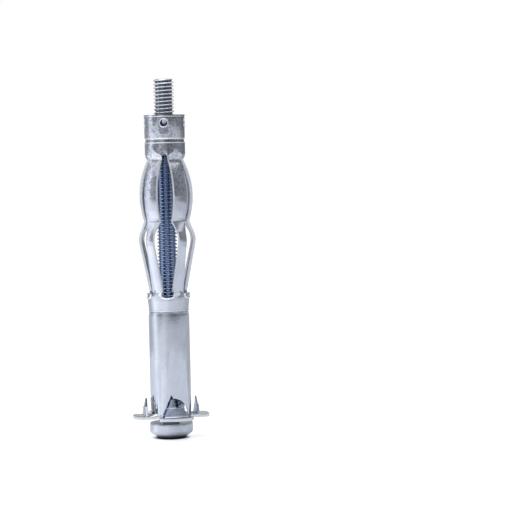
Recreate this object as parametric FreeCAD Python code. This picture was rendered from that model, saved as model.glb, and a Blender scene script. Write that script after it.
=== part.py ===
import FreeCAD, Part
import math
import os

# Hollow wall anchor, M4 with a 59 mm sleeve for an 8 mm hole, before it is set.
# A rolled sheet sleeve carries a clawed flange, five pressed legs and a collar.
# A threaded nut is crimped into the collar, and a pan head screw runs through it.
# The anchor stands on the screw head. +Z runs from the head to the screw's point,
# the origin is the middle of the head's flat, and the wide petals lie along Y.

# Screw
thread_diameter = 4.0
shank_length = 67.1
head_diameter = 8.5
head_height = 3.05
head_flat_diameter = 5.0
head_shoulder_height = 1.2
head_rounding = 0.8
point_chamfer = 0.35

# Cross recess in the head's flat
recess_span = 4.0
recess_root_span = 1.9
recess_depth = 2.0
recess_wing = 1.0

# Sheet and how far the screw is driven
sheet = 0.55
head_gap = 1.0

# Sleeve diameters over the outer face, from the flange up
flange_diameter = 15.0
tube_diameter = 8.0
ring_depth = 0.15
lip_diameter = 8.28
collar_diameter = 7.86
crimp_depth = 0.22
rim_flare = 0.07

# Reach of a leg's flat outer face from the axis, from the root up
crease_reach = 3.46
fold_reach = 5.79
waist_reach = 4.19
bulge_reach = 5.0
neck_reach = 3.17

# Sleeve lengths, from the flange up
plain_length = 24.25
lower_leg_length = 11.0
fold_length = 3.25
upper_leg_length = 12.0
neck_length = 1.5
collar_length = 7.15

# Heights within those lengths
ring_drop = 3.55
ring_width = 0.7
lip_drop = 0.6
crease_rise = 0.45
bulge_rise = 4.75
crimp_rise = 2.4
crimp_width = 0.9
rim_height = 0.5
fold_rounding = 4.0
bend_radius = 0.35

# Legs, each width across the flat of the leg
leg_count = 5
first_leg_azimuth = 22.0
root_width = 2.4
fold_width = 1.7
waist_width = 2.9
bulge_width = 2.85
neck_width = 2.65

# Rounded ends of the slots between the legs
relief_width = 2.6
relief_height = 1.4
notch_width = 1.0
notch_rise = 0.55
seam_gap = 0.1

# Flange petals, half cut to a fan and half with near parallel sides, all a little askew
wide_root = 6.2
wide_rim = 7.2
narrow_root = 5.3
narrow_rim = 5.6
rim_lean = 0.4
petal_corner = 0.9
throat_diameter = 8.6

# Claws bent up from the petals, and the windows that they leave in the tube
claw_diameter = 9.56
claw_margin = 0.75
claw_lean = -0.05
claw_height = 3.4
claw_shoulder_height = 1.75
claw_slope = 0.42
claw_back_slope = 0.63
claw_point_base = 1.55
claw_point = 0.6
claw_ledge = 0.15
claw_edge_thickness = 0.25
claw_fillet = 0.25
window_clearance = 0.1
window_back_clearance = 0.35
window_crown = 0.95

# Nut
nut_recess = 0.7
nut_seat = 0.05
bore_clearance = 0.05
bore_chamfer = 0.4
stake_count = 4
stake_diameter = 1.5
stake_drop = 1.6
stake_depth = 0.6
tongue_diameter = 1.24
tongue_side = 0.07
tongue_hold = 0.06
tongue_tilt = 20.0

# Heights above the head's flat
z_flange = head_height + head_gap
z_bend = z_flange + sheet + bend_radius
z_root = z_flange + plain_length
z_fold = z_root + lower_leg_length
z_waist = z_fold + fold_length
z_neck = z_waist + upper_leg_length
z_collar = z_neck + neck_length
z_rim = z_collar + collar_length
z_ring = z_root - ring_drop
z_lip = z_root - lip_drop
z_crease = z_root + crease_rise
z_bulge = z_waist + bulge_rise
z_crimp = z_collar + crimp_rise
z_stake = z_rim - stake_drop

# Radii that several shapes share
tube_radius = tube_diameter / 2
lip_radius = lip_diameter / 2
collar_radius = collar_diameter / 2
flange_radius = flange_diameter / 2
thread_radius = thread_diameter / 2
bore_radius = thread_radius + bore_clearance
claw_radius = claw_diameter / 2
outside = flange_radius + sheet
petal_sizes = {0: (wide_root, wide_rim), 90: (narrow_root, narrow_rim)}
petals = [(turn + half, *petal_sizes[turn]) for turn in petal_sizes for half in (0, 180)]

# Azimuths turn from the front, which is -Y, toward +X
leg_step = 360.0 / leg_count
leg_azimuths = [first_leg_azimuth + i * leg_step for i in range(leg_count)]
slot_azimuths = [azimuth + leg_step / 2 for azimuth in leg_azimuths]
stake_azimuths = [slot_azimuths[-1] + i * 360.0 / stake_count for i in range(stake_count)]
seam_azimuth = slot_azimuths[1]

axis_point = FreeCAD.Vector(0, 0, 0)
axis = FreeCAD.Vector(0, 0, 1)


def at(radius, z):
    """A point of a half section, at a radius and a height."""
    return FreeCAD.Vector(radius, 0, z)


def line(start, end):
    return Part.LineSegment(start, end).toShape()


def arc(start, middle, end):
    return Part.Arc(start, middle, end).toShape()


def polyline(points):
    return [line(a, b) for a, b in zip(points, points[1:])]


def revolved(edges):
    """The solid that a closed half section sweeps about the screw's axis."""
    face = Part.Face(Part.Wire(Part.__sortEdges__(edges)))
    return face.revolve(axis_point, axis, 360)


def turned(shape, azimuth):
    """A copy of a shape made at the front, turned about the axis to an azimuth."""
    copy = shape.copy()
    copy.rotate(axis_point, axis, azimuth)
    return copy


def ringed(shape, azimuths):
    """One compound of copies of a shape made at the front."""
    return Part.makeCompound([turned(shape, azimuth) for azimuth in azimuths])


def plate(outline, near, far):
    """A prism toward the front, from one distance off the axis to another.

    The outline is a list of points (sideways, height).
    """
    points = [FreeCAD.Vector(x, -near, z) for x, z in outline]
    face = Part.Face(Part.makePolygon(points + points[:1]))
    return face.extrude(FreeCAD.Vector(0, near - far, 0))


def rounded(solid, radius, direction):
    """A solid with its straight edges along a direction rounded."""
    edges = []
    for edge in solid.Edges:
        run = edge.Vertexes[-1].Point - edge.Vertexes[0].Point
        if run.Length > 0 and run.cross(direction).Length < 1e-6 * run.Length:
            edges.append(edge)
    return solid.makeFillet(radius, edges)


def corner_arc(before, corner, after, radius):
    """Start, middle and end of the arc that rounds one corner of an outline."""
    back = (before - corner).normalize()
    ahead = (after - corner).normalize()
    half = back.getAngle(ahead) / 2
    inward = (back + ahead).normalize()
    centre = corner + inward * (radius / math.sin(half))
    reach = radius / math.tan(half)
    return corner + back * reach, centre - inward * radius, corner + ahead * reach


def wall(depth):
    """The turned face of tube and collar from the flange bend to the rim, a depth under the outside.

    Along the legs it stands clear of them.
    """
    corners = [
        (tube_radius, z_bend),
        (tube_radius, z_ring - ring_width),
        (tube_radius - ring_depth, z_ring),
        (lip_radius, z_lip),
        (lip_radius, z_root),
        (outside, z_root),
        (outside, z_neck),
        (collar_radius, z_neck),
        (collar_radius, z_crimp - crimp_width),
        (collar_radius - crimp_depth, z_crimp),
        (collar_radius, z_crimp + crimp_width / 2),
        (collar_radius, z_rim - rim_height),
        (collar_radius + rim_flare, z_rim),
    ]
    return polyline([at(radius - depth, z) for radius, z in corners])


def bend(radius, turn_z):
    """The flange bend, a quarter turn from the foot of the wall out to the petals."""
    centre = at(tube_radius + bend_radius, z_bend)
    diagonal = radius * math.sqrt(0.5)
    wall_end = centre - at(radius, 0)
    middle = centre - at(diagonal, diagonal)
    petal_end = at(centre.x, turn_z)
    return wall_end, middle, petal_end


def turned_body(edges):
    """What a half section's edges enclose, from the lower end of the first to the axis."""
    low = edges[0].Vertexes[0].Point
    high = edges[-1].Vertexes[-1].Point
    return revolved(edges + polyline([high, at(0, high.z), at(0, low.z), low]))


def pressed_body(depth):
    """What one leg's flat face bounds, toward +X, a depth under the outside.

    The face leans in from the tube's lip to the crease, out to the fold, in to the waist,
    bulges to the neck and leans out again to the collar.
    """
    lip = at(lip_radius, z_lip)
    crease = at(crease_reach, z_crease)
    fold = at(fold_reach, z_fold)
    waist = at(waist_reach, z_waist)
    bulge = at(bulge_reach, z_bulge)
    neck = at(neck_reach, z_neck)
    collar = at(collar_radius, z_collar)
    below = lip * 2 - crease
    above = collar * 2 - neck
    fold_start, fold_mid, fold_end = corner_arc(crease, fold, waist, fold_rounding)
    far = 2 * outside
    low = z_flange - sheet
    high = z_rim + sheet
    lower = polyline([at(-far, low), at(far, low), at(far, below.z), below, crease, fold_start])
    legs = [arc(fold_start, fold_mid, fold_end), line(fold_end, waist), arc(waist, bulge, neck)]
    upper = polyline([neck, above, at(far, above.z), at(far, high), at(-far, high), at(-far, low)])
    body = Part.Face(Part.Wire(lower + legs + upper)).extrude(FreeCAD.Vector(0, 2 * far, 0))
    body.translate(FreeCAD.Vector(-depth, -far, 0))
    return body


def pressed(body, depth):
    """A turned body with the flat face of each leg pressed into it."""
    flat = pressed_body(depth)
    for azimuth in leg_azimuths:
        body = body.common(turned(flat, azimuth - 90))
    return body


def cavity():
    """What the sheet encloses, open at the flange."""
    wall_end, middle, petal_end = bend(bend_radius + sheet, z_flange)
    inside = turned_body([arc(petal_end, middle, wall_end)] + wall(sheet))
    return pressed(inside, sheet)


def sheet_blank():
    """The sleeve as pressed sheet, before anything is cut from it."""
    wall_end, middle, petal_end = bend(bend_radius, z_flange + sheet)
    rim_top = at(flange_radius, z_flange + sheet)
    rim_bottom = at(flange_radius, z_flange)
    flange = polyline([rim_bottom, rim_top, petal_end])
    outside_body = turned_body(flange + [arc(petal_end, middle, wall_end)] + wall(0))
    return pressed(outside_body, 0).cut(cavity())


def leg_outline():
    """One leg laid flat, with its narrow part at the lower fold."""
    right = [
        (root_width / 2, z_root),
        (fold_width / 2, z_fold - fold_rounding / 2),
        (fold_width / 2, z_fold + fold_rounding / 4),
        (waist_width / 2, z_waist),
        (bulge_width / 2, z_bulge),
        (neck_width / 2, z_neck),
    ]
    left = [(-x, z) for x, z in reversed(right)]
    return right + left


def slots():
    """All that is cut between the legs, with the rounded ends of the slots."""
    band = Part.makeCylinder(outside, z_neck - z_root, at(0, z_root), axis)
    legs = ringed(plate(leg_outline(), 0, 2 * outside), leg_azimuths)
    half = relief_width / 2
    low = z_root - relief_height / 2
    high = z_root + relief_height / 2
    hole = plate([(-half, low), (half, low), (half, high), (-half, high)], 0, outside)
    hole = rounded(hole, 0.48 * relief_height, FreeCAD.Vector(0, 1, 0))
    side = notch_width / 2
    top = z_neck + notch_rise + side
    foot = z_neck - notch_width
    notch = plate([(-side, foot), (side, foot), (side, top), (-side, top)], 0, outside)
    notch = rounded(notch, 0.96 * side, FreeCAD.Vector(0, 1, 0))
    ends = [ringed(hole, slot_azimuths), ringed(notch, slot_azimuths)]
    return [band.cut(legs)] + ends


def petal(root, rim):
    """The outline of one petal as a prism, a little taller than the flange."""
    near = throat_diameter / 2
    low = z_flange - sheet
    height = z_bend - low + sheet
    points = [
        FreeCAD.Vector(-root / 2, 0, low),
        FreeCAD.Vector(root / 2, 0, low),
        FreeCAD.Vector(root / 2, -near, low),
        FreeCAD.Vector(rim / 2 - rim_lean, -flange_radius, low),
        FreeCAD.Vector(-rim / 2 - rim_lean, -flange_radius, low),
        FreeCAD.Vector(-root / 2, -near, low),
    ]
    fan = Part.Face(Part.makePolygon(points + points[:1])).extrude(axis * height)
    disc = Part.makeCylinder(flange_radius, height, at(0, low), axis)
    blank = fan.common(disc)
    corners = []
    for edge in blank.Edges:
        run = edge.Vertexes[-1].Point - edge.Vertexes[0].Point
        upright = abs(run.z) > 0.9 * height
        if upright and edge.Vertexes[0].Point.y < -near - sheet:
            corners.append(edge)
    return blank.makeFillet(petal_corner, corners)


def flange_gaps():
    """What is cut from the flange between its petals."""
    low = z_flange - 2 * sheet
    height = z_bend - low
    ring = Part.makeCylinder(2 * flange_radius, height, at(0, low), axis)
    core = Part.makeCylinder(throat_diameter / 2, height, at(0, low), axis)
    return ring.cut([core] + [turned(petal(root, rim), azimuth) for azimuth, root, rim in petals])


def claw_edge(root, height):
    """The sideways place of a claw's straight edge, at a height above its petal."""
    return claw_margin + claw_lean - root / 2 + claw_slope * height


def claw_back(root):
    """The sideways place where a claw's other edge leaves its petal."""
    return root / 2 + claw_lean - claw_margin


def window(root):
    """The opening that a claw leaves in the tube and in the root of its petal."""
    low = z_flange - sheet
    foot = z_flange + sheet
    top = foot + claw_height + window_clearance
    left = claw_edge(root, 0) - window_clearance
    left_top = claw_edge(root, top - foot) - window_clearance
    right_top = left_top + claw_point + 2 * window_clearance
    right = claw_back(root) + window_back_clearance
    start = FreeCAD.Vector(right_top, 0, top)
    end = FreeCAD.Vector(right, 0, foot)
    chord = end - start
    crown = FreeCAD.Vector(-chord.z, 0, chord.x).normalize() * window_crown
    corners = [(left_top, top), (left, foot), (left, low), (right, low)]
    straight = [FreeCAD.Vector(x, 0, z) for x, z in corners]
    edges = polyline([start] + straight + [end])
    edges.append(arc(end, start + chord * 0.5 + crown, start))
    return Part.Face(Part.Wire(edges)).extrude(FreeCAD.Vector(0, -claw_radius, 0))


def claw(root):
    """One claw, upright on its petal, with a stepped point that is thinned from outside."""
    foot = z_flange + sheet
    shoulder = foot + claw_shoulder_height
    tip = foot + claw_height
    left = claw_edge(root, 0)
    right = claw_back(root)
    left_shoulder = claw_edge(root, claw_shoulder_height)
    left_top = claw_edge(root, claw_height)
    outline = [
        (left, z_flange),
        (right, z_flange),
        (right, foot),
        (right - claw_back_slope * claw_shoulder_height, shoulder),
        (left_shoulder + claw_point_base, shoulder),
        (left_top + claw_point, tip),
        (left_top, tip),
        (left, foot),
    ]
    outer = -claw_radius - sheet
    ledge = FreeCAD.Vector(left, outer, shoulder)
    ledge_top = ledge + FreeCAD.Vector(0, claw_ledge, claw_ledge)
    edge = FreeCAD.Vector(left, -claw_radius - claw_edge_thickness, tip)
    outer_tip = FreeCAD.Vector(left, outer, tip)
    thinned = Part.Face(Part.makePolygon([ledge, ledge_top, edge, outer_tip, ledge]))
    cut = thinned.extrude(FreeCAD.Vector(right - left, 0, 0))
    return plate(outline, claw_radius, claw_radius + sheet).cut(cut)


def claw_foot(root):
    """The hollow fillet where a claw rises from its petal."""
    left = claw_edge(root, 0)
    width = claw_back(root) - left
    hollow = claw_fillet * (1 - math.sqrt(0.5))
    corner = FreeCAD.Vector(left, -claw_radius - sheet, z_flange + sheet)
    high = corner + FreeCAD.Vector(0, 0, claw_fillet)
    middle = corner + FreeCAD.Vector(0, -hollow, hollow)
    far = corner + FreeCAD.Vector(0, -claw_fillet, 0)
    section = Part.Wire([line(corner, high), arc(high, middle, far), line(far, corner)])
    return Part.Face(section).extrude(FreeCAD.Vector(width, 0, 0))


def stakes(near):
    """The stake holes, round and radial, from a distance off the axis outward."""
    toward = FreeCAD.Vector(0, -1, 0)
    start = FreeCAD.Vector(0, -near, z_stake)
    drill = Part.makeCylinder(stake_diameter / 2, outside - near, start, toward)
    return ringed(drill, stake_azimuths)


def tongue():
    """The disc of sheet that one stake has sheared at its foot and pressed in, held at its top."""
    outer_face = FreeCAD.Vector(tongue_side, -collar_radius, 0)
    top = z_stake + stake_diameter / 2 + tongue_hold
    centre = outer_face + axis * (top - tongue_diameter / 2)
    disc = Part.makeCylinder(tongue_diameter / 2, sheet, centre, FreeCAD.Vector(0, 1, 0))
    hinge = FreeCAD.Vector(0, sheet / 2 - collar_radius, top)
    disc.rotate(hinge, FreeCAD.Vector(1, 0, 0), tongue_tilt)
    return disc


def seam():
    """The butt seam where the rolled sheet's two edges meet."""
    half = seam_gap / 2
    low = z_flange - sheet
    high = z_rim + sheet
    outline = [(-half, low), (half, low), (half, high), (-half, high)]
    return turned(plate(outline, thread_radius, outside), seam_azimuth)


def make_sleeve():
    cuts = slots() + [flange_gaps(), stakes(thread_radius), seam()]
    claws = []
    for azimuth, root, _ in petals:
        cuts.append(turned(window(root), azimuth))
        claws += [turned(claw(root), azimuth), turned(claw_foot(root), azimuth)]
    tongues = [turned(tongue(), azimuth) for azimuth in stake_azimuths]
    return sheet_blank().cut(cuts).fuse(claws + tongues).removeSplitter().Solids[0]


def make_nut():
    low = z_collar + nut_seat
    high = z_rim - nut_recess
    slab = Part.makeCylinder(collar_radius, high - low, at(0, low), axis)
    bore = revolved(polyline([
        at(0, low),
        at(bore_radius + bore_chamfer, low),
        at(bore_radius, low + bore_chamfer),
        at(bore_radius, high - bore_chamfer),
        at(bore_radius + bore_chamfer, high),
        at(0, high),
        at(0, low),
    ]))
    dents = stakes(collar_radius - sheet - stake_depth)
    return cavity().common(slab).cut([bore, dents]).Solids[0]


def recess():
    """The cross recess, two crossed wings that taper to a smaller root."""
    cone = Part.makeCone(recess_span / 2, recess_root_span / 2, recess_depth)
    wing = Part.makeBox(recess_span, recess_wing, recess_depth)
    wing.translate(FreeCAD.Vector(-recess_span / 2, -recess_wing / 2, 0))
    return wing.fuse(turned(wing, 90)).common(cone)


def make_screw():
    flat = at(head_flat_diameter / 2, 0)
    side_high = at(head_diameter / 2, head_height)
    shoulder = at(head_diameter / 2, head_shoulder_height)
    round_low, round_mid, round_high = corner_arc(flat, shoulder, side_high, head_rounding)
    seat = at(thread_radius, head_height)
    tip = head_height + shank_length
    chamfer_low = at(thread_radius, tip - point_chamfer)
    chamfer_high = at(thread_radius - point_chamfer, tip)
    below = polyline([at(0, 0), flat, round_low]) + [arc(round_low, round_mid, round_high)]
    rest = [round_high, side_high, seat, chamfer_low, chamfer_high, at(0, tip), at(0, 0)]
    return revolved(below + polyline(rest)).cut(recess()).Solids[0]


os.makedirs("parts", exist_ok=True)
make_sleeve().exportStep("parts/sleeve.step")
make_nut().exportStep("parts/nut.step")
make_screw().exportStep("parts/screw.step")
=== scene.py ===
import math

import bmesh
import bpy
import numpy as np
from mathutils import Matrix, Vector


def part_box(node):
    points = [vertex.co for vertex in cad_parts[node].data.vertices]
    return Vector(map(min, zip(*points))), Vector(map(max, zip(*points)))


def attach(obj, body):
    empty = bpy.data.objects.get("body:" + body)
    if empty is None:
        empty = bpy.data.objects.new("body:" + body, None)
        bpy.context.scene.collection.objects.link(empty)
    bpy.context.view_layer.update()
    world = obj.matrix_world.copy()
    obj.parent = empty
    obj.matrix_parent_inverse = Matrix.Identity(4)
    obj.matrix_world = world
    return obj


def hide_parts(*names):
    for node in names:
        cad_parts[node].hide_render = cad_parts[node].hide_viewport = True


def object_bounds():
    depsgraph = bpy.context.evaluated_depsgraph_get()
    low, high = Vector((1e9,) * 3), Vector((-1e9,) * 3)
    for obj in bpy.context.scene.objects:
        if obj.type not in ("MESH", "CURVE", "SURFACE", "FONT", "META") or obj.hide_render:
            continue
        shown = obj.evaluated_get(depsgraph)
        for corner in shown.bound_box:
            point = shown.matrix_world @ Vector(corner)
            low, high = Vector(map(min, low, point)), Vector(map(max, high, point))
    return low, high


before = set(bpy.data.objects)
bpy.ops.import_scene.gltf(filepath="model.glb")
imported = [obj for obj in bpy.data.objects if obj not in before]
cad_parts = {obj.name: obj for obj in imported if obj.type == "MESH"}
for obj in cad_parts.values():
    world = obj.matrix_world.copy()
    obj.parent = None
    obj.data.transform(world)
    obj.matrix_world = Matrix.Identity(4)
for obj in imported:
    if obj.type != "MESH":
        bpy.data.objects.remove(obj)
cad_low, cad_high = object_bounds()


# Sleeve
# One rolled and pressed piece of zinc plated steel sheet: flange, claws, tube, legs and collar.
# It has the frame's own shape with eased corners. Its sheared edges carry a painted highlight,
# its claws and stake tongues a painted shade, and painted shade lines lie in its grooves.
SHEET_COLOR = (0.60, 0.64, 0.735)
SHEET_SHADE = (0.50, 0.54, 0.635)
# Sheared edges: a paler copy of the sheet, a painted highlight.
EDGE_HIGHLIGHT_COLOR = (0.86, 0.88, 0.93)
EDGE_HIGHLIGHT_SHADE = (0.72, 0.75, 0.82)
EDGE_METALLIC = 0.3
# Claws and stake tongues: a darker copy of the sheet, a painted shade.
CLAW_COLOR = (0.42, 0.47, 0.60)
CLAW_SHADE = (0.28, 0.32, 0.44)
MOTTLE_SPREAD = (0.35, 0.68)
GRAIN_IN_SHADE = 0.35
SHADE_SHARE = 0.75
GRAIN_IN_ROUGHNESS = 0.14
GRAIN_HEIGHT = 0.00004
# Painted shade in lines along grooves and creases; the same dark colour also tints stain spots.
STAIN_AND_SHADE_COLOR = (0.07, 0.07, 0.10, 1)
SHADE_LINES = [(0.05815, 0.00022, 0.85), (0.0627, 0.0002, 0.6), (0.02485, 0.0003, 0.55),
               (0.04255, 0.00014, 0.8)]
SPECK_SCALE = 2600
FLECK_SPREAD = (0.38, 0.58)
LEAST_FLECK = 0.35
SPOT_SPREAD = (0.46, 0.62)
STAINED_FROM = (0.0455, 0.049)
STAIN = 0.48
CAD_MERGE = 1e-6
EASED_CORNER = 0.00005
CORNER_ANGLE = math.radians(28)
FLANGE_TOP = 0.0051
FLANGE_EDGE_RISE = 0.2
WALL_EDGE_FACING = 0.55
CLAW_FACING = 0.9
CLAW_FOOT = 0.0049
CLAW_TIP = 0.0081
CLAW_INSIDE = 0.0047
STAKE_AZIMUTHS = np.radians(-14 + 90 * np.arange(4))
STAKE_HEIGHT = 0.0616
STAKE_RADIUS = 0.00075
STAKE_MARGIN = 0.00001
TONGUE_AHEAD = 0.8
TONGUE_SIDE = 0.00013
TONGUE_WIDTH = 0.62
TONGUE_LENGTH = 0.86


def feed(link, socket, value):
    """Set a socket to a plain value, or link the socket that stands in its place."""
    if isinstance(value, bpy.types.NodeSocket):
        link(value, socket)
    else:
        socket.default_value = value


def combined(nodes, link, operation, *values, clamp=False):
    """The output of one math node fed by sockets or plain numbers."""
    node = nodes.new("ShaderNodeMath")
    node.operation = operation
    node.use_clamp = clamp
    for place, value in enumerate(values):
        feed(link, node.inputs[place], value)
    return node.outputs["Value"]


def ranged(nodes, link, value, source, target=(0.0, 1.0), smooth=False):
    """A value carried from the source's two ends to the target's, and held at them outside."""
    node = nodes.new("ShaderNodeMapRange")
    node.interpolation_type = "SMOOTHSTEP" if smooth else "LINEAR"
    feed(link, node.inputs["Value"], value)
    for name, end in zip(("From Min", "From Max", "To Min", "To Max"), (*source, *target)):
        feed(link, node.inputs[name], end)
    return node.outputs["Result"]


def tinted(nodes, link, share, low, high, blend="MIX"):
    """The colour between low, at a share of 0, and high, or low blended with high, at 1."""
    node = nodes.new("ShaderNodeMix")
    node.data_type = "RGBA"
    node.blend_type = blend
    for place, value in ((0, share), (6, low), (7, high)):
        feed(link, node.inputs[place], value)
    return node.outputs[2]


def noise(nodes, link, vector, scale, detail=2.0, roughness=0.5):
    """Noise from 0 to 1 at a place."""
    node = nodes.new("ShaderNodeTexNoise")
    feed(link, node.inputs["Vector"], vector)
    feed(link, node.inputs["Scale"], scale)
    node.inputs["Detail"].default_value = detail
    node.inputs["Roughness"].default_value = roughness
    return node.outputs["Fac"]


def height_of(nodes, link, vector):
    """The z of a place."""
    split = nodes.new("ShaderNodeSeparateXYZ")
    link(vector, split.inputs["Vector"])
    return split.outputs["Z"]


def new_group(name, inputs, outputs):
    """An empty node group: its vector input comes first, and all other sockets are numbers."""
    group = bpy.data.node_groups.new(name, "ShaderNodeTree")
    group.interface.new_socket("Vector", in_out="INPUT", socket_type="NodeSocketVector")
    for side, sockets in (("INPUT", inputs), ("OUTPUT", outputs)):
        for socket in sockets:
            group.interface.new_socket(socket, in_out=side, socket_type="NodeSocketFloat")
    entry = group.nodes.new("NodeGroupInput").outputs
    leave = group.nodes.new("NodeGroupOutput").inputs
    return group, group.nodes, group.links.new, entry, leave


def placed(nodes, link, group, vector, **values):
    """The outputs of a group in a material, fed by a place and by the material's own values."""
    node = nodes.new("ShaderNodeGroup")
    node.node_tree = group
    link(vector, node.inputs["Vector"])
    for name, value in values.items():
        node.inputs[name].default_value = value
    return node.outputs


def plating_group():
    """Mottle and grain of zinc plate, two noises of their own scales.

    The share of shaded colour is the spread mottle and a part of the grain, taken down. The
    roughness gains a part of the grain, and the height is the grain.
    """
    group, nodes, link, entry, leave = new_group(
        "plating", ("mottle", "grain", "roughness"), ("shade", "rough", "height"))
    mottle = noise(nodes, link, entry["Vector"], entry["mottle"], detail=4.0, roughness=0.62)
    grain = noise(nodes, link, entry["Vector"], entry["grain"], detail=3.0, roughness=0.7)
    spread = ranged(nodes, link, mottle, MOTTLE_SPREAD)
    shade = combined(nodes, link, "MULTIPLY_ADD", grain, GRAIN_IN_SHADE, spread)
    shade = combined(nodes, link, "MULTIPLY", shade, SHADE_SHARE, clamp=True)
    rough = combined(nodes, link, "MULTIPLY_ADD", grain, GRAIN_IN_ROUGHNESS, entry["roughness"])
    link(shade, leave["shade"])
    link(rough, leave["rough"])
    link(grain, leave["height"])
    return group


def shade_line_group():
    """Painted shade on a line pressed round a piece: an amount, to 0 over its reach in height."""
    group, nodes, link, entry, leave = new_group(
        "shade_line", ("height", "reach", "amount"), ("dark",))
    z = height_of(nodes, link, entry["Vector"])
    off = combined(nodes, link, "SUBTRACT", z, entry["height"])
    off = combined(nodes, link, "ABSOLUTE", off)
    dark = ranged(nodes, link, off, (0.0, entry["reach"]), (entry["amount"], 0.0), smooth=True)
    link(dark, leave["dark"])
    return group


def specks_group():
    """Fine noise read twice: flecks in the painted shade lines, and stain spots on the upper end.

    Flecks rise to 1 over one spread of the noise. Spots rise to 1 over a higher one, and are taken
    down to the stain's share, which itself rises with the height.
    """
    group, nodes, link, entry, leave = new_group("specks", (), ("flecks", "spots"))
    speck = noise(nodes, link, entry["Vector"], SPECK_SCALE)
    flecks = ranged(nodes, link, speck, FLECK_SPREAD, (LEAST_FLECK, 1.0))
    spots = ranged(nodes, link, speck, SPOT_SPREAD)
    z = height_of(nodes, link, entry["Vector"])
    stained = ranged(nodes, link, z, STAINED_FROM, (0.0, STAIN))
    link(flecks, leave["flecks"])
    link(combined(nodes, link, "MULTIPLY", spots, stained), leave["spots"])
    return group


plating, shade_line, specks = plating_group(), shade_line_group(), specks_group()


def plated(name, color, shaded, roughness, mottle, grain, bump, stretch=(1, 1, 1)):
    """A zinc plated metal: two tints mixed by the plating's shade, with its roughness and bumps."""
    material = bpy.data.materials.new(name)
    material.use_nodes = True
    nodes, link = material.node_tree.nodes, material.node_tree.links.new
    metal = nodes["Principled BSDF"].inputs
    metal["Metallic"].default_value = 1.0
    scale = nodes.new("ShaderNodeMapping")
    scale.inputs["Scale"].default_value = stretch
    link(nodes.new("ShaderNodeTexCoord").outputs["Object"], scale.inputs["Vector"])
    effect = placed(nodes, link, plating, scale.outputs["Vector"],
                    mottle=mottle, grain=grain, roughness=roughness)
    tint = tinted(nodes, link, effect["shade"], (*color, 1), (*shaded, 1))
    link(tint, metal["Base Color"])
    link(effect["rough"], metal["Roughness"])
    relief = nodes.new("ShaderNodeBump")
    relief.inputs["Strength"].default_value = bump
    relief.inputs["Distance"].default_value = GRAIN_HEIGHT
    link(effect["height"], relief.inputs["Height"])
    link(relief.outputs["Normal"], metal["Normal"])
    return material


def darken_by_stain_and_shade(material, lines):
    """Darken a material by its darkest line of painted shade, flecked, or by a darker stain spot.

    Each line is a height, a reach and an amount.
    """
    nodes, link = material.node_tree.nodes, material.node_tree.links.new
    base = nodes["Principled BSDF"].inputs["Base Color"]
    undarkened = base.links[0].from_socket
    place = nodes.new("ShaderNodeTexCoord").outputs["Object"]
    speck = placed(nodes, link, specks, place)
    dark = 0.0
    for height, reach, amount in lines:
        line = placed(nodes, link, shade_line, place, height=height, reach=reach, amount=amount)
        dark = combined(nodes, link, "MAXIMUM", dark, line["dark"])
    dark = combined(nodes, link, "MULTIPLY", dark, speck["flecks"])
    dark = combined(nodes, link, "MAXIMUM", dark, speck["spots"])
    link(tinted(nodes, link, dark, undarkened, STAIN_AND_SHADE_COLOR), base)


def merged_copy(node, name):
    """A new object from a node's triangles, joined where their corners meet."""
    shape = bmesh.new()
    shape.from_mesh(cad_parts[node].data)
    bmesh.ops.remove_doubles(shape, verts=shape.verts, dist=CAD_MERGE)
    mesh = bpy.data.meshes.new(name)
    shape.to_mesh(mesh)
    shape.free()
    piece = bpy.data.objects.new(name, mesh)
    bpy.context.scene.collection.objects.link(piece)
    return piece


def face_arrays(mesh):
    """Centres and unit normals of a mesh's faces, one row each."""
    centres = np.empty(len(mesh.polygons) * 3)
    normals = np.empty(len(mesh.polygons) * 3)
    mesh.polygons.foreach_get("center", centres)
    mesh.polygons.foreach_get("normal", normals)
    return centres.reshape(-1, 3), normals.reshape(-1, 3)


def in_stake_holes(points):
    """Which points lie in a stake hole, by their distance from its axis."""
    found = np.zeros(len(points), dtype=bool)
    for azimuth in STAKE_AZIMUTHS:
        across = points @ np.array([math.cos(azimuth), math.sin(azimuth), 0])
        ahead = points @ np.array([math.sin(azimuth), -math.cos(azimuth), 0]) > 0
        off_axis = np.hypot(across, points[:, 2] - STAKE_HEIGHT)
        found |= ahead & (off_axis < STAKE_RADIUS - STAKE_MARGIN)
    return found


def narrow_tongues(mesh):
    """Draw the tongue in each stake hole in, sideways toward a line off its middle and upward.

    Its width and its length below the hole's top are each taken down by a factor. What moves lies
    near the stake's azimuth, by the cosine of the angle between them.
    """
    points = np.empty(len(mesh.vertices) * 3)
    mesh.vertices.foreach_get("co", points)
    points = points.reshape(-1, 3)
    for azimuth in STAKE_AZIMUTHS:
        sideways = np.array([math.cos(azimuth), math.sin(azimuth), 0])
        outward = np.array([math.sin(azimuth), -math.cos(azimuth), 0])
        ahead = points @ outward > TONGUE_AHEAD * np.hypot(*points[:, :2].T)
        inside = in_stake_holes(points) & ahead
        across = points[inside] @ sideways
        points[inside] -= np.outer((across - TONGUE_SIDE) * (1 - TONGUE_WIDTH), sideways)
        hang = STAKE_HEIGHT + STAKE_RADIUS - points[inside, 2]
        points[inside, 2] += hang * (1 - TONGUE_LENGTH)
    mesh.vertices.foreach_set("co", points.ravel())
    mesh.update()


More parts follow.
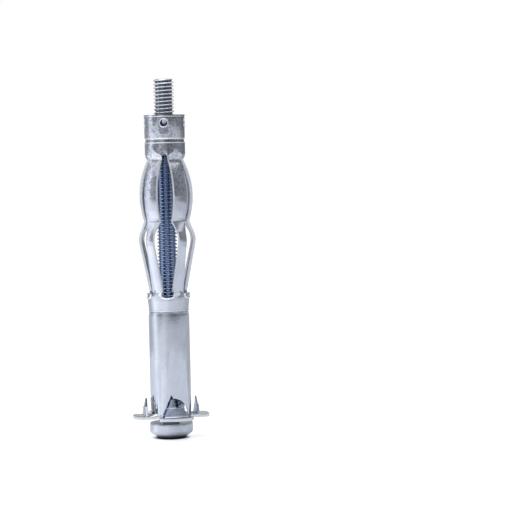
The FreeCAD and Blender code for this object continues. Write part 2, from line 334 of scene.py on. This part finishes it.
def finish_indices(mesh):
    """The finish of each face: 0 for sheet, 1 for sheared edges, 2 for claws and pressed tongues.
    The second is a painted highlight, and the third a painted shade.

    A flange edge is a face whose normal is nearly level, and an edge of the wall one whose normal
    points little in or out. A claw's broad faces look along x or y, outside the tube.
    """
    centres, normals = face_arrays(mesh)
    outward = centres[:, :2] / np.linalg.norm(centres[:, :2], axis=1)[:, None]
    facing = np.abs((normals[:, :2] * outward).sum(axis=1))
    height = centres[:, 2]
    flange_edge = np.abs(normals[:, 2]) < FLANGE_EDGE_RISE
    sheared = np.where(height < FLANGE_TOP, flange_edge, facing < WALL_EDGE_FACING)
    on_claw = (height > CLAW_FOOT) & (height < CLAW_TIP)
    on_claw &= np.abs(centres[:, :2]).max(axis=1) > CLAW_INSIDE
    on_claw &= np.abs(normals[:, :2]).max(axis=1) > CLAW_FACING
    return np.where(on_claw | in_stake_holes(centres), 2, sheared).astype(np.int32)


sleeve = merged_copy("sleeve", "sleeve_sheet")
narrow_tongues(sleeve.data)
sleeve.data.polygons.foreach_set("material_index", finish_indices(sleeve.data))
sheet = plated("zinc_sheet", SHEET_COLOR, SHEET_SHADE,
               roughness=0.07, mottle=420, grain=2900, bump=0.3, stretch=(1, 1, 0.7))
# Painted shade darkens the sheet along its pressed grooves and creases, in flecks.
darken_by_stain_and_shade(sheet, SHADE_LINES)
# The sheared edges and eased corners get a paler copy of the sheet: a painted highlight.
edge_highlight = plated("edge_highlight", EDGE_HIGHLIGHT_COLOR, EDGE_HIGHLIGHT_SHADE,
                      roughness=0.34, mottle=900, grain=7000, bump=0.2)
edge_highlight.node_tree.nodes["Principled BSDF"].inputs["Metallic"].default_value = EDGE_METALLIC
# The claws and the tongues in the stake holes get a darker copy of the sheet: a painted shade.
pressed = plated("claw_painted_shade", CLAW_COLOR, CLAW_SHADE,
                 roughness=0.16, mottle=1400, grain=2900, bump=0.8)
for finish in (sheet, edge_highlight, pressed):
    sleeve.data.materials.append(finish)
ease = sleeve.modifiers.new("eased_corners", "BEVEL")
ease.width = EASED_CORNER
ease.segments = 2
ease.limit_method = "ANGLE"
ease.angle_limit = CORNER_ANGLE
ease.harden_normals = True
ease.material = 1
for polygon in sleeve.data.polygons:
    polygon.use_smooth = True
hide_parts("sleeve")
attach(sleeve, "anchor")


# Punched rims
# The burr that a punch raises round each relief hole and stake hole, and the beads that the
# forming rolls leave round the tube and the collar. They are the sleeve's own metal, painted near
# white: a painted highlight.
RIM_HIGHLIGHT_COLOR = (0.96, 0.97, 0.99)
RIM_HIGHLIGHT_SHADE = (0.84, 0.87, 0.92)
SLOT_AZIMUTHS = np.radians(58 + 72 * np.arange(5))
RELIEF_HEIGHT = 0.0283
RELIEF_HALF_WIDTH = 0.00132
RELIEF_DROP = 0.00072
RELIEF_POWER = 2.6
RELIEF_SWEEP = 1.75
RELIEF_STEPS = 40
RELIEF_WALL = 0.00410
RELIEF_BURR = 0.00019
COLLAR_WALL = 0.00393
STAKE_BURR = 0.00012
STAKE_STEPS = 36
BEADS = [(0.02516, 0.00398, 0.00006), (0.05778, 0.0039, 0.00008), (0.0586, 0.0038, 0.00014),
         (0.06288, 0.0039, 0.00008)]
BEAD_STEPS = 96
BURR_STEPS = 10
GRID_MERGE = 2e-7


def grid_mesh(points, ends_closed):
    """Vertices and faces of a grid, rows by columns by 3, whose last column lies on its first.

    The two meet when doubles are merged. One vertex at the row's mean closes each end row, unless
    the last row lies on the first as well.
    """
    rows, columns = points.shape[:2]
    index = np.arange(rows * columns).reshape(rows, columns)
    here, after = index[:, :-1], index[:, 1:]
    quads = np.stack([here[:-1], after[:-1], after[1:], here[1:]], axis=-1).reshape(-1, 4)
    if not ends_closed:
        return points.reshape(-1, 3), quads.tolist()
    low, high = rows * columns, rows * columns + 1
    bottom = np.stack([after[0], here[0], np.full(columns - 1, low)], axis=-1)
    top = np.stack([here[-1], after[-1], np.full(columns - 1, high)], axis=-1)
    ends = [points[0, 1:].mean(axis=0), points[-1, 1:].mean(axis=0)]
    vertices = np.vstack([points.reshape(-1, 3), ends])
    return vertices, quads.tolist() + bottom.tolist() + top.tolist()


def mesh_piece(name, parts):
    """One object from several grids, with the points that lie on each other merged."""
    shape = bmesh.new()
    for points, ends_closed in parts:
        vertices, faces = grid_mesh(points, ends_closed)
        mesh = bpy.data.meshes.new(name)
        mesh.from_pydata(vertices, [], faces)
        shape.from_mesh(mesh)
        bpy.data.meshes.remove(mesh)
    bmesh.ops.remove_doubles(shape, verts=shape.verts, dist=GRID_MERGE)
    mesh = bpy.data.meshes.new(name)
    shape.to_mesh(mesh)
    shape.free()
    mesh.shade_smooth()
    piece = bpy.data.objects.new(name, mesh)
    bpy.context.scene.collection.objects.link(piece)
    return piece


def on_wall(azimuth, across, height, radius):
    """Points on a round wall and their outward directions, from arc lengths and heights."""
    angle = azimuth + across / radius
    outward = np.stack([np.sin(angle), -np.cos(angle), 0 * angle], axis=-1)
    return outward * radius + np.stack([0 * angle, 0 * angle, height], axis=-1), outward


def burr(path, outward, thickness, closed):
    """A round bead: a circle between outward and its cross product with the path's direction."""
    if closed:
        along = np.roll(path, -1, axis=0) - np.roll(path, 1, axis=0)
    else:
        along = np.gradient(path, axis=0)
    along /= np.linalg.norm(along, axis=1)[:, None]
    side = np.cross(along, outward)
    angle = np.linspace(0, math.tau, BURR_STEPS + 1)[None, :, None]
    circle = np.cos(angle) * outward[:, None] + np.sin(angle) * side[:, None]
    rings = path[:, None] + thickness * circle
    return np.concatenate([rings, rings[:1]]) if closed else rings


def relief_burr(azimuth):
    """The lower half of a rounded box round a slot's relief hole.

    Sine and cosine of the turn, each to the power 2 / RELIEF_POWER, give its width and its drop.
    """
    turn = np.linspace(-RELIEF_SWEEP, RELIEF_SWEEP, RELIEF_STEPS)
    power = 2 / RELIEF_POWER
    across = RELIEF_HALF_WIDTH * np.sign(turn) * np.abs(np.sin(turn)) ** power
    drop = RELIEF_DROP * np.sign(np.cos(turn)) * np.abs(np.cos(turn)) ** power
    return burr(*on_wall(azimuth, across, RELIEF_HEIGHT - drop, RELIEF_WALL), RELIEF_BURR, False)


def stake_burr(azimuth):
    """A circle round a stake hole."""
    turn = np.linspace(0, math.tau, STAKE_STEPS, endpoint=False)
    reach = STAKE_RADIUS + STAKE_BURR / 2
    across, height = reach * np.sin(turn), STAKE_HEIGHT - reach * np.cos(turn)
    return burr(*on_wall(azimuth, across, height, COLLAR_WALL), STAKE_BURR, True)


def bead(height, wall, thickness):
    """A circle round the tube or the collar."""
    turn = np.linspace(0, math.tau, BEAD_STEPS, endpoint=False)
    return burr(*on_wall(0, turn * wall, 0 * turn + height, wall), thickness, True)


rims = mesh_piece(
    "punched_rims",
    [(relief_burr(azimuth), True) for azimuth in SLOT_AZIMUTHS]
    + [(stake_burr(azimuth), False) for azimuth in STAKE_AZIMUTHS]
    + [(bead(*values), False) for values in BEADS],
)
rims.data.materials.append(plated("rim_painted_highlight", RIM_HIGHLIGHT_COLOR, RIM_HIGHLIGHT_SHADE,
                                  roughness=0.18, mottle=1400, grain=6000, bump=0.3))
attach(rims, "anchor")


# Nut
# A turned and threaded steel bush, zinc plated like the sleeve. The collar is crimped round it,
# and the dents behind the stake holes are painted dark: a painted shade.
NUT_COLOR = (0.44, 0.47, 0.54)
NUT_SHADE = (0.32, 0.35, 0.41)
DENT_PAINTED_SHADE = (STAKE_HEIGHT, 0.0012, 3.0)
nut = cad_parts["nut"]
nut.data.materials.clear()
turned = plated("turned_zinc", NUT_COLOR, NUT_SHADE,
                roughness=0.26, mottle=700, grain=4200, bump=0.3)
darken_by_stain_and_shade(turned, [DENT_PAINTED_SHADE])
nut.data.materials.append(turned)


# Screw
# A cold headed and thread rolled steel screw: a pan head with a cross recess, and a right-hand
# thread along the whole shank, rolled before the zinc went on.
# Painted light and shade by height: bright at the tip, a darker blue where the shank stands inside
# the sleeve, a painted shade, and darker still in the valleys and on the head's seat.
SCREW_COLOR = (0.90, 0.93, 0.98)
SCREW_SHADE = (0.72, 0.76, 0.84)
HEAD_TINT = (0.58, 0.60, 0.64, 1)
SLEEVE_SHADE_BLUE = (0.37, 0.46, 0.64, 1)
SLEEVE_VALLEY_SHADE = (0.27, 0.33, 0.47, 1)
VALLEY_SHADE = (0.19, 0.21, 0.26, 1)
SLEEVE_SHADE_UP_TO = (0.056, 0.063)
SLEEVE_SHADE_FROM = (0.0042, 0.0052)
UNSHADED_CREST_DEPTH = 0.00008
SEAT_SHADE_DEPTH = 0.00006
screw_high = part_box("screw")[1]
HEAD_RADIUS = screw_high.x
HEAD_HEIGHT = 0.00305
CREST_RADIUS = 0.002
ROOT_RADIUS = 0.00163
PITCH = 0.0007
CREST_SHARE = 0.125
ROOT_SHARE = 0.25
RUN_OUT = 2 * PITCH
SHANK_SUNK = 0.0004
TIP_CHAMFER = 0.00035
TURN_STEPS = 40
PITCH_STEPS = 8
SPARE_ROWS = 2
HEAD_STEPS = 192
FLAT_RADIUS = 0.0025
SHOULDER_HEIGHT = 0.0012
SHOULDER_REACH = 0.00042
SIDE_EASE = 0.00012
SIDE_EASE_POWER = 8
CONE_STEPS = 8
SHOULDER_STEPS = 10
SIDE_FROM = 0.1
SIDE_STEPS = 12
SEAT_STEPS = 10
RECESS_STEP = 0.00005
RECESS_RADIUS = 0.002
RECESS_ROOT = 0.00095
RECESS_DEPTH = 0.002
RECESS_STEEPNESS = 16
WING_HALF = 0.0005
SHARP_ANGLE = math.radians(50)


def thread_radius(phase):
    """Radius over one pitch: a flat crest, straight flanks at about 30 degrees and a flat root."""
    wave = np.abs((phase % 1.0) - 0.5) * 2
    share = np.clip((wave - CREST_SHARE) / (1 - ROOT_SHARE - CREST_SHARE), 0, 1)
    return CREST_RADIUS - (CREST_RADIUS - ROOT_RADIUS) * share


def shank_points():
    """The shank: each row is one step of the pitch above the last, and rises one pitch a turn.

    Its end lies on the start of the row one pitch above. The radius follows the thread, less near
    the head, where it runs out, and at the tip's chamfer.
    """
    bottom = HEAD_HEIGHT - SHANK_SUNK
    top = screw_high.z
    count = int((top - bottom) / PITCH * PITCH_STEPS) + PITCH_STEPS + SPARE_ROWS
    step = np.arange(-PITCH_STEPS, count)[:, None]
    turn = np.arange(TURN_STEPS + 1)[None, :] / TURN_STEPS
    height = bottom + (step / PITCH_STEPS + turn) * PITCH
    radius = thread_radius(step / PITCH_STEPS + 0 * turn)
    height = np.clip(height, bottom, top)
    fade = np.clip((height - HEAD_HEIGHT) / RUN_OUT, 0, 1)
    radius = ROOT_RADIUS + (radius - ROOT_RADIUS) * fade
    tip = CREST_RADIUS - TIP_CHAMFER + (top - height)
    radius = np.where(height < top, np.minimum(radius, tip), tip)
    angle = turn * math.tau + 0 * height
    return np.stack([radius * np.cos(angle), radius * np.sin(angle), height], axis=-1)


def recess_depth(x, y):
    """Depth of two crossed wings, each bounded by its steep walls and by the taper to its root."""
    reach = (RECESS_RADIUS - np.hypot(x, y)) * RECESS_DEPTH / (RECESS_RADIUS - RECESS_ROOT)
    walls = (WING_HALF - np.minimum(np.abs(x), np.abs(y))) * RECESS_STEEPNESS
    return np.clip(np.minimum(reach, walls), 0, RECESS_DEPTH)


def head_points():
    """The head from the middle of its recess, over flat, cone and side, to the middle of its seat.

    Rows are rings. A quadratic curve rounds the shoulder between cone and side, and the side draws
    in toward its upper corner by a high power of its height.
    """
    angle = np.arange(HEAD_STEPS + 1)[None, :] * math.tau / HEAD_STEPS
    flat = np.arange(RECESS_STEP, FLAT_RADIUS, RECESS_STEP)
    slope = math.hypot(HEAD_RADIUS - FLAT_RADIUS, SHOULDER_HEIGHT)
    share = 1 - SHOULDER_REACH / slope
    cone = np.linspace(0, share, CONE_STEPS)
    t = np.linspace(1 / SHOULDER_STEPS, 1, SHOULDER_STEPS)
    turn_in = share * (1 - t) ** 2 + 2 * t * (1 - t) + t**2
    turn_up = share * (1 - t) ** 2 + 2 * t * (1 - t) + t**2 * (1 + SHOULDER_REACH / SHOULDER_HEIGHT)
    up = np.linspace(SIDE_FROM, 1, SIDE_STEPS)
    side = HEAD_RADIUS - SIDE_EASE * up**SIDE_EASE_POWER
    side_low = SHOULDER_HEIGHT + SHOULDER_REACH
    seat = np.linspace(HEAD_RADIUS - 2 * SIDE_EASE, RECESS_STEP, SEAT_STEPS)
    rim = HEAD_RADIUS - FLAT_RADIUS
    radius = np.concatenate([flat, FLAT_RADIUS + rim * cone, FLAT_RADIUS + rim * turn_in,
                             side, seat])
    height = np.concatenate([0 * flat, SHOULDER_HEIGHT * cone, SHOULDER_HEIGHT * turn_up,
                             side_low + (HEAD_HEIGHT - side_low) * up, 0 * seat + HEAD_HEIGHT])
    x = radius[:, None] * np.cos(angle)
    y = radius[:, None] * np.sin(angle)
    depth = np.zeros_like(x)
    depth[:len(flat)] = recess_depth(x, y)[:len(flat)]
    return np.stack([x, y, height[:, None] + depth], axis=-1)


def thread_light_and_shade(material):
    """Blue plating with painted light and shade: bright at the tip and darker inside the sleeve.

    The head is tinted grey, and the darker blue's share is 1 between two heights. Inward from the
    crest, and on the head's seat, it goes over to a painted shade, blue inside the sleeve.
    """
    nodes, link = material.node_tree.nodes, material.node_tree.links.new
    base = nodes["Principled BSDF"].inputs["Base Color"]
    bright = base.links[0].from_socket
    split = nodes.new("ShaderNodeSeparateXYZ")
    link(nodes.new("ShaderNodeTexCoord").outputs["Object"], split.inputs["Vector"])
    height = split.outputs["Z"]
    level = nodes.new("ShaderNodeCombineXYZ")
    link(split.outputs["X"], level.inputs["X"])
    link(split.outputs["Y"], level.inputs["Y"])
    reach = nodes.new("ShaderNodeVectorMath")
    reach.operation = "LENGTH"
    link(level.outputs["Vector"], reach.inputs[0])
    off_head = ranged(nodes, link, height, SLEEVE_SHADE_FROM)
    on_head = ranged(nodes, link, height, SLEEVE_SHADE_FROM, (1.0, 0.0))
    below_tip = ranged(nodes, link, height, SLEEVE_SHADE_UP_TO, (1.0, 0.0))
    off_seat = ranged(nodes, link, height, (HEAD_HEIGHT - SEAT_SHADE_DEPTH, HEAD_HEIGHT), (1.0, 0.0))
    crest = ranged(nodes, link, reach.outputs["Value"], (ROOT_RADIUS, CREST_RADIUS - UNSHADED_CREST_DEPTH))
    in_sleeve_shade = combined(nodes, link, "MULTIPLY", off_head, below_tip)
    head = tinted(nodes, link, on_head, bright, HEAD_TINT, blend="MULTIPLY")
    plate = tinted(nodes, link, in_sleeve_shade, head, SLEEVE_SHADE_BLUE)
    painted_valley = tinted(nodes, link, in_sleeve_shade, VALLEY_SHADE, SLEEVE_VALLEY_SHADE)
    undarkened = combined(nodes, link, "MAXIMUM", off_seat, off_head)
    undarkened = combined(nodes, link, "MULTIPLY", crest, undarkened)
    link(tinted(nodes, link, undarkened, painted_valley, plate), base)


screw = mesh_piece("screw_threaded", [(head_points(), True), (shank_points(), True)])
screw.data.set_sharp_from_angle(angle=SHARP_ANGLE)
rolled = plated("rolled_zinc", SCREW_COLOR, SCREW_SHADE,
                roughness=0.10, mottle=650, grain=4800, bump=0.35)
thread_light_and_shade(rolled)
screw.data.materials.append(rolled)
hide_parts("screw")
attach(screw, "screw")


# Floor
# A plain white table. The camera sees it brighter than it is lit, so that it meets the white behind
# it, and metal mirrors it glowing in other shades. Under the head it is painted dark: a painted
# shadow, which nothing brightens.
CAMERA_AZIMUTH = math.radians(-12)
FLOOR_SIZE = 3.0
FLOOR_LIFT = 0.52
FLOOR_ROUGHNESS = 0.9
# A painted contact shadow: inside this reach of the axis the table is painted dark, with no lift.
CONTACT = (0.0027, 0.0040)
PAINTED_CONTACT_SHADOW = (0.05, 0.05, 0.06, 1)
PAPER_COLOR = (0.87, 0.88, 0.90, 1)
ROOM_LIGHT = 0.62
FLOOR_SHADES = [(0.0, 0.68), (0.10, 0.75), (0.21, 1.04), (0.255, 1.46), (0.30, 1.34), (0.36, 1.12),
                (0.45, 1.04), (0.52, 0.82), (0.6, 0.77), (0.72, 0.82), (0.84, 0.70), (1.0, 0.66)]
half = FLOOR_SIZE / 2
floor_mesh = bpy.data.meshes.new("floor")
floor_mesh.from_pydata([(-half, -half, 0), (half, -half, 0), (half, half, 0), (-half, half, 0)],
                       [], [(0, 1, 2, 3)])
floor = bpy.data.objects.new("floor", floor_mesh)
bpy.context.scene.collection.objects.link(floor)


def azimuth_group():
    """Azimuth about the screw's axis from 0 to 1, with 0.5 at the front, where the camera is."""
    group, nodes, link, entry, leave = new_group("azimuth", (), ("turn",))
    front = nodes.new("ShaderNodeMapping")
    front.inputs["Rotation"].default_value = (0, 0, math.radians(90) - CAMERA_AZIMUTH)
    link(entry["Vector"], front.inputs["Vector"])
    around = nodes.new("ShaderNodeTexGradient")
    around.gradient_type = "RADIAL"
    link(front.outputs["Vector"], around.inputs["Vector"])
    link(around.outputs["Fac"], leave["turn"])
    return group


azimuth_about = azimuth_group()


def shades_around(nodes, link, turn, shades):
    """Grey by azimuth: 0 and 1 are behind the anchor, 0.25 its left, 0.5 its front, 0.75 its right.

    The ramp's colours go no higher than 1, so it holds half of each grey, and a factor doubles it.
    """
    ramp = nodes.new("ShaderNodeValToRGB")
    while len(ramp.color_ramp.elements) < len(shades):
        ramp.color_ramp.elements.new(0.5)
    for element, (spot, level) in zip(ramp.color_ramp.elements, shades):
        element.position = spot
        element.color = (level / 2, level / 2, level / 2, 1)
    link(turn, ramp.inputs["Fac"])
    return combined(nodes, link, "MULTIPLY", ramp.outputs["Color"], 2.0)


paper = bpy.data.materials.new("white_table")
paper.use_nodes = True
nodes, link = paper.node_tree.nodes, paper.node_tree.links.new
surface = nodes["Principled BSDF"].inputs
surface["Roughness"].default_value = FLOOR_ROUGHNESS
surface["Emission Color"].default_value = (1, 1, 1, 1)
ray = nodes.new("ShaderNodeLightPath").outputs
place = nodes.new("ShaderNodeTexCoord").outputs["Object"]
away = nodes.new("ShaderNodeVectorMath")
away.operation = "LENGTH"
link(place, away.inputs[0])
# Within the contact reach the table is painted dark, a painted shadow, and the lift is taken away.
clear = ranged(nodes, link, away.outputs["Value"], CONTACT, smooth=True)
turn = placed(nodes, link, azimuth_about, place)["turn"]
mirrored = shades_around(nodes, link, turn, FLOOR_SHADES)
mirrored = combined(nodes, link, "SUBTRACT", mirrored, ROOM_LIGHT)
mirrored = combined(nodes, link, "MAXIMUM", mirrored, 0.0)
mirrored = combined(nodes, link, "MULTIPLY", mirrored, ray["Is Glossy Ray"])
seen = combined(nodes, link, "MULTIPLY_ADD", ray["Is Camera Ray"], FLOOR_LIFT, mirrored)
link(tinted(nodes, link, clear, PAINTED_CONTACT_SHADOW, PAPER_COLOR), surface["Base Color"])
link(combined(nodes, link, "MULTIPLY", seen, clear), surface["Emission Strength"])
floor.data.materials.append(paper)


# Light
# A white room with a wide soft box overhead. Round the anchor stands a screen that only metal
# mirrors: dark at the height of the collar, pale at its foot, and with a bright strip on the left.
SCREEN_RADIUS = 0.12
SCREEN_HIGH = 0.128
SCREEN_STEPS = 96
SCREEN_FOOT = (0.027, 0.041)
SCREEN_COLOR = (0.97, 0.985, 1.0, 1)
LOW_SHADES = [(0.0, 0.62), (0.10, 0.70), (0.165, 0.68), (0.21, 0.98), (0.255, 1.42), (0.30, 1.22),
              (0.345, 1.09), (0.45, 1.04), (0.5, 0.83), (0.6, 0.73), (0.72, 0.74), (0.84, 0.64),
              (0.92, 0.60), (1.0, 0.62)]
BAND_SHADES = [(0.0, 0.42), (0.09, 0.54), (0.16, 0.46), (0.21, 0.66), (0.262, 1.46), (0.282, 1.20),
               (0.303, 0.60), (0.36, 0.38), (0.42, 0.70), (0.5, 0.38), (0.56, 0.22), (0.68, 0.33),
               (0.76, 0.36), (0.84, 0.27), (0.9, 0.25), (1.0, 0.42)]
world = bpy.data.worlds.new("studio")
bpy.context.scene.world = world
world.use_nodes = True
nodes, link = world.node_tree.nodes, world.node_tree.links.new
backdrop = nodes["Background"]
backdrop.inputs["Color"].default_value = (1, 1, 1, 1)
ray = nodes.new("ShaderNodeLightPath").outputs
direct = combined(nodes, link, "MAXIMUM", ray["Is Camera Ray"], ray["Is Glossy Ray"])
direct = combined(nodes, link, "MAXIMUM", direct, ray["Is Transmission Ray"])
link(ranged(nodes, link, direct, (0.0, 1.0), (ROOM_LIGHT, 1.0)), backdrop.inputs["Strength"])


def screen_mesh():
    """A round wall about the anchor: one circle carried straight up, and seen from inside."""
    angle = np.linspace(0, math.tau, SCREEN_STEPS, endpoint=False)
    ring = np.stack([SCREEN_RADIUS * np.cos(angle), SCREEN_RADIUS * np.sin(angle)], axis=-1)
    levels = [np.column_stack([ring, np.full(SCREEN_STEPS, z)]) for z in (0, SCREEN_HIGH)]
    index = np.arange(SCREEN_STEPS)
    after = np.roll(index, -1)
    faces = np.stack([after, index, index + SCREEN_STEPS, after + SCREEN_STEPS], axis=-1)
    mesh = bpy.data.meshes.new("grey_screen")
    mesh.from_pydata(np.vstack(levels), [], faces.tolist())
    return mesh


screen = bpy.data.objects.new("grey_screen", screen_mesh())
bpy.context.scene.collection.objects.link(screen)
screen.visible_camera = False
screen.visible_diffuse = False
screen.visible_shadow = False
grey = bpy.data.materials.new("grey_screen")
grey.use_nodes = True
nodes, link = grey.node_tree.nodes, grey.node_tree.links.new
nodes.clear()
place = nodes.new("ShaderNodeTexCoord").outputs["Object"]
turn = placed(nodes, link, azimuth_about, place)["turn"]
rise = ranged(nodes, link, height_of(nodes, link, place), SCREEN_FOOT, smooth=True)
shade = nodes.new("ShaderNodeMix")
link(rise, shade.inputs[0])
link(shades_around(nodes, link, turn, LOW_SHADES), shade.inputs[2])
link(shades_around(nodes, link, turn, BAND_SHADES), shade.inputs[3])
glow = nodes.new("ShaderNodeEmission")
glow.inputs["Color"].default_value = SCREEN_COLOR
link(shade.outputs[0], glow.inputs["Strength"])
out = nodes.new("ShaderNodeOutputMaterial")
link(glow.outputs["Emission"], out.inputs["Surface"])
screen.data.materials.append(grey)


def soft_box(name, azimuth, elevation, distance, width, height, power):
    """An area lamp that faces the anchor's middle, its azimuth counted from the front."""
    lamp = bpy.data.lights.new(name, "AREA")
    lamp.shape = "RECTANGLE"
    lamp.size, lamp.size_y, lamp.energy = width, height, power
    box = bpy.data.objects.new(name, lamp)
    bpy.context.scene.collection.objects.link(box)
    a, e = CAMERA_AZIMUTH + math.radians(azimuth), math.radians(elevation)
    back = Vector((math.sin(a) * math.cos(e), -math.cos(a) * math.cos(e), math.sin(e)))
    middle = Vector((0, 0, (cad_low.z + cad_high.z) / 2))
    box.location = middle + back * distance
    box.rotation_mode = "QUATERNION"
    box.rotation_quaternion = back.to_track_quat("Z", "Y")


soft_box("top_box", azimuth=-40, elevation=78, distance=0.55, width=0.5, height=0.5, power=1.0)


# Camera
# At the height of the collar, 395 mm in front and 12 degrees to the left. It looks a little down
# and to the right of the anchor, and is rolled by a degree.
FOCAL_PIXELS = 2021.7
FRAME_PIXELS = 512
SENSOR_WIDTH = 36
NEAREST = 0.01
CAMERA_DISTANCE = 0.395
CAMERA_HEIGHT = 0.0577
YAW, PITCH_DOWN, ROLL = (math.radians(v) for v in (2.510, 3.249, -1.238))
lens = bpy.data.cameras.new("camera")
lens.sensor_width = SENSOR_WIDTH
lens.lens = SENSOR_WIDTH * FOCAL_PIXELS / FRAME_PIXELS
lens.clip_start = NEAREST
camera = bpy.data.objects.new("camera", lens)
bpy.context.scene.collection.objects.link(camera)
bpy.context.scene.camera = camera
toward = Vector((-math.sin(CAMERA_AZIMUTH), math.cos(CAMERA_AZIMUTH), 0))
up = Vector((0, 0, 1))
look = toward * math.cos(YAW) + toward.cross(up) * math.sin(YAW)
right = look.cross(up)
look = look * math.cos(PITCH_DOWN) - up * math.sin(PITCH_DOWN)
above = right.cross(look)
tilted_right = right * math.cos(ROLL) + above * math.sin(ROLL)
tilted_up = above * math.cos(ROLL) - right * math.sin(ROLL)
turned_to = Matrix((tilted_right, tilted_up, -look)).transposed().to_4x4()
camera.matrix_world = Matrix.Translation(up * CAMERA_HEIGHT - toward * CAMERA_DISTANCE) @ turned_to

bpy.context.scene.view_settings.view_transform = "Standard"
